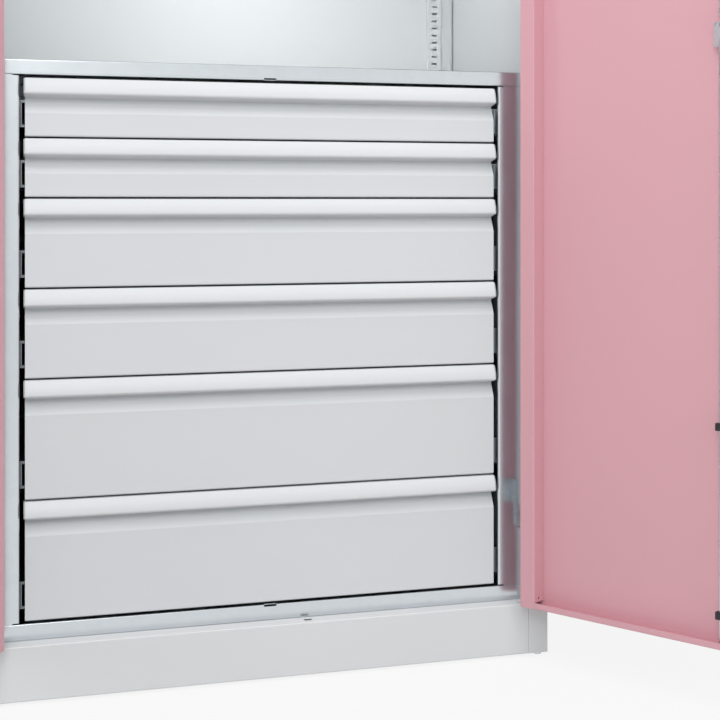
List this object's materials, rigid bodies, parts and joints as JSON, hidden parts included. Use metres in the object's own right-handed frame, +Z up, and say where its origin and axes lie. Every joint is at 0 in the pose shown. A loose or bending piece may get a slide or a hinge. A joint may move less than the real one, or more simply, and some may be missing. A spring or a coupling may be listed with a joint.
{
  "type": "cabinet with drawers and doors",
  "caption": "Steel cabinet with hinged doors and a rod lock, shelves above, and full-extension drawers in a galvanised housing below.",
  "frame": {"origin": "on the floor at the centre of the carcass footprint", "axes": "+Z up, -Y out of the open front, +X to the right when facing the front"},
  "size_m": [1.4298, 1.0122, 1.95],
  "materials": {
    "carcass_paint": "fine-textured light grey powder coat",
    "drawer_paint": "fine-textured light grey powder coat",
    "door_paint": "fine-textured pink powder coat",
    "galvanised_steel": "smooth hot-dip galvanised sheet, semi-gloss",
    "zinc_plated_steel": "bright zinc plate",
    "black_plastic": "fine-grained black plastic"
  },
  "bodies": {
    "carcass": {"side_panel_left": "carcass_paint", "side_panel_right": "carcass_paint", "back_panel": "carcass_paint", "roof_panel": "carcass_paint", "head_rail": "carcass_paint", "plinth_front": "carcass_paint", "floor_panel": "carcass_paint", "slotted_strips": "carcass_paint", "shelf_lower": "galvanised_steel", "shelf_upper": "galvanised_steel", "shelf_hooks": "zinc_plated_steel", "foot_brackets": "carcass_paint", "levelling_feet": "zinc_plated_steel", "housing_side_left": "galvanised_steel", "housing_side_right": "galvanised_steel", "housing_top_tray": "galvanised_steel", "housing_base_rail": "galvanised_steel", "housing_rear_rails": "galvanised_steel", "housing_screws": "zinc_plated_steel", "fixed_runners": "zinc_plated_steel", "hinge_frame_leaves_left": "zinc_plated_steel", "hinge_frame_leaves_right": "zinc_plated_steel", "hinge_pins": "zinc_plated_steel"},
    "drawer_1": {"drawer_front_1": "drawer_paint", "drawer_pan_1": "drawer_paint", "drawer_runners_1": "zinc_plated_steel"},
    "middle_runner_1": {"middle_runners_1": "zinc_plated_steel"},
    "drawer_2": {"drawer_front_2": "drawer_paint", "drawer_pan_2": "drawer_paint", "drawer_runners_2": "zinc_plated_steel"},
    "middle_runner_2": {"middle_runners_2": "zinc_plated_steel"},
    "drawer_3": {"drawer_front_3": "drawer_paint", "drawer_pan_3": "drawer_paint", "drawer_runners_3": "zinc_plated_steel"},
    "middle_runner_3": {"middle_runners_3": "zinc_plated_steel"},
    "drawer_4": {"drawer_front_4": "drawer_paint", "drawer_pan_4": "drawer_paint", "drawer_runners_4": "zinc_plated_steel"},
    "middle_runner_4": {"middle_runners_4": "zinc_plated_steel"},
    "drawer_5": {"drawer_front_5": "drawer_paint", "drawer_pan_5": "drawer_paint", "drawer_runners_5": "zinc_plated_steel"},
    "middle_runner_5": {"middle_runners_5": "zinc_plated_steel"},
    "drawer_6": {"drawer_front_6": "drawer_paint", "drawer_pan_6": "drawer_paint", "drawer_runners_6": "zinc_plated_steel"},
    "middle_runner_6": {"middle_runners_6": "zinc_plated_steel"},
    "door_left": {"door_panel_left": "door_paint", "hinge_door_leaves_left": "zinc_plated_steel", "rebate_strip": "door_paint"},
    "door_right": {"door_panel_right": "door_paint", "hinge_door_leaves_right": "zinc_plated_steel", "handle_escutcheon": "black_plastic", "rod_guides": "black_plastic"},
    "handle": {"lock_handle": "black_plastic", "lock_cam": "zinc_plated_steel"},
    "key_cylinder": {"lock_cylinder": "zinc_plated_steel"},
    "rod_upper": {"lock_rod_upper": "zinc_plated_steel"},
    "rod_lower": {"lock_rod_lower": "zinc_plated_steel"}
  },
  "joints": [
    {"name": "drawer_1_slide", "type": "slide", "parent": "carcass", "child": "drawer_1", "axis": [0, -1, 0], "range_m": [0, 0.5]},
    {"name": "middle_runner_1_slide", "type": "slide", "parent": "carcass", "child": "middle_runner_1", "axis": [0, -1, 0], "range_m": [0, 0.25]},
    {"name": "drawer_2_slide", "type": "slide", "parent": "carcass", "child": "drawer_2", "axis": [0, -1, 0], "range_m": [0, 0.5]},
    {"name": "middle_runner_2_slide", "type": "slide", "parent": "carcass", "child": "middle_runner_2", "axis": [0, -1, 0], "range_m": [0, 0.25]},
    {"name": "drawer_3_slide", "type": "slide", "parent": "carcass", "child": "drawer_3", "axis": [0, -1, 0], "range_m": [0, 0.5]},
    {"name": "middle_runner_3_slide", "type": "slide", "parent": "carcass", "child": "middle_runner_3", "axis": [0, -1, 0], "range_m": [0, 0.25]},
    {"name": "drawer_4_slide", "type": "slide", "parent": "carcass", "child": "drawer_4", "axis": [0, -1, 0], "range_m": [0, 0.5]},
    {"name": "middle_runner_4_slide", "type": "slide", "parent": "carcass", "child": "middle_runner_4", "axis": [0, -1, 0], "range_m": [0, 0.25]},
    {"name": "drawer_5_slide", "type": "slide", "parent": "carcass", "child": "drawer_5", "axis": [0, -1, 0], "range_m": [0, 0.5]},
    {"name": "middle_runner_5_slide", "type": "slide", "parent": "carcass", "child": "middle_runner_5", "axis": [0, -1, 0], "range_m": [0, 0.25]},
    {"name": "drawer_6_slide", "type": "slide", "parent": "carcass", "child": "drawer_6", "axis": [0, -1, 0], "range_m": [0, 0.5]},
    {"name": "middle_runner_6_slide", "type": "slide", "parent": "carcass", "child": "middle_runner_6", "axis": [0, -1, 0], "range_m": [0, 0.25]},
    {"name": "door_left_hinge", "type": "hinge", "parent": "carcass", "child": "door_left", "pos_m": [-0.463, -0.3025, 1], "axis": [0, 0, -1], "range_deg": [-123.5, 56.5]},
    {"name": "door_right_hinge", "type": "hinge", "parent": "carcass", "child": "door_right", "pos_m": [0.463, -0.3025, 1], "axis": [0, 0, 1], "range_deg": [-123.5, 56.5]},
    {"name": "handle_turn", "type": "hinge", "parent": "door_right", "child": "handle", "pos_m": [0.69336, -0.62971, 1.1], "axis": [0.8339, 0.5519, 0], "range_deg": [-90, 0]},
    {"name": "key_turn", "type": "hinge", "parent": "handle", "child": "key_cylinder", "pos_m": [0.69336, -0.62971, 1.1], "axis": [0.8339, 0.5519, 0], "range_deg": [-90, 0]},
    {"name": "rod_upper_slide", "type": "slide", "parent": "door_right", "child": "rod_upper", "axis": [0, 0, -1], "range_m": [-0.012, 0]},
    {"name": "rod_lower_slide", "type": "slide", "parent": "door_right", "child": "rod_lower", "axis": [0, 0, 1], "range_m": [-0.012, 0]}
  ],
  "couplings": [
    {"joint": "middle_runner_1_slide", "follows": "drawer_1_slide", "ratio": 0.5},
    {"joint": "middle_runner_2_slide", "follows": "drawer_2_slide", "ratio": 0.5},
    {"joint": "middle_runner_3_slide", "follows": "drawer_3_slide", "ratio": 0.5},
    {"joint": "middle_runner_4_slide", "follows": "drawer_4_slide", "ratio": 0.5},
    {"joint": "middle_runner_5_slide", "follows": "drawer_5_slide", "ratio": 0.5},
    {"joint": "middle_runner_6_slide", "follows": "drawer_6_slide", "ratio": 0.5},
    {"joint": "rod_upper_slide", "follows": "handle_turn", "m_per_rad": 0.0076394},
    {"joint": "rod_lower_slide", "follows": "handle_turn", "m_per_rad": 0.0076394}
  ]
}
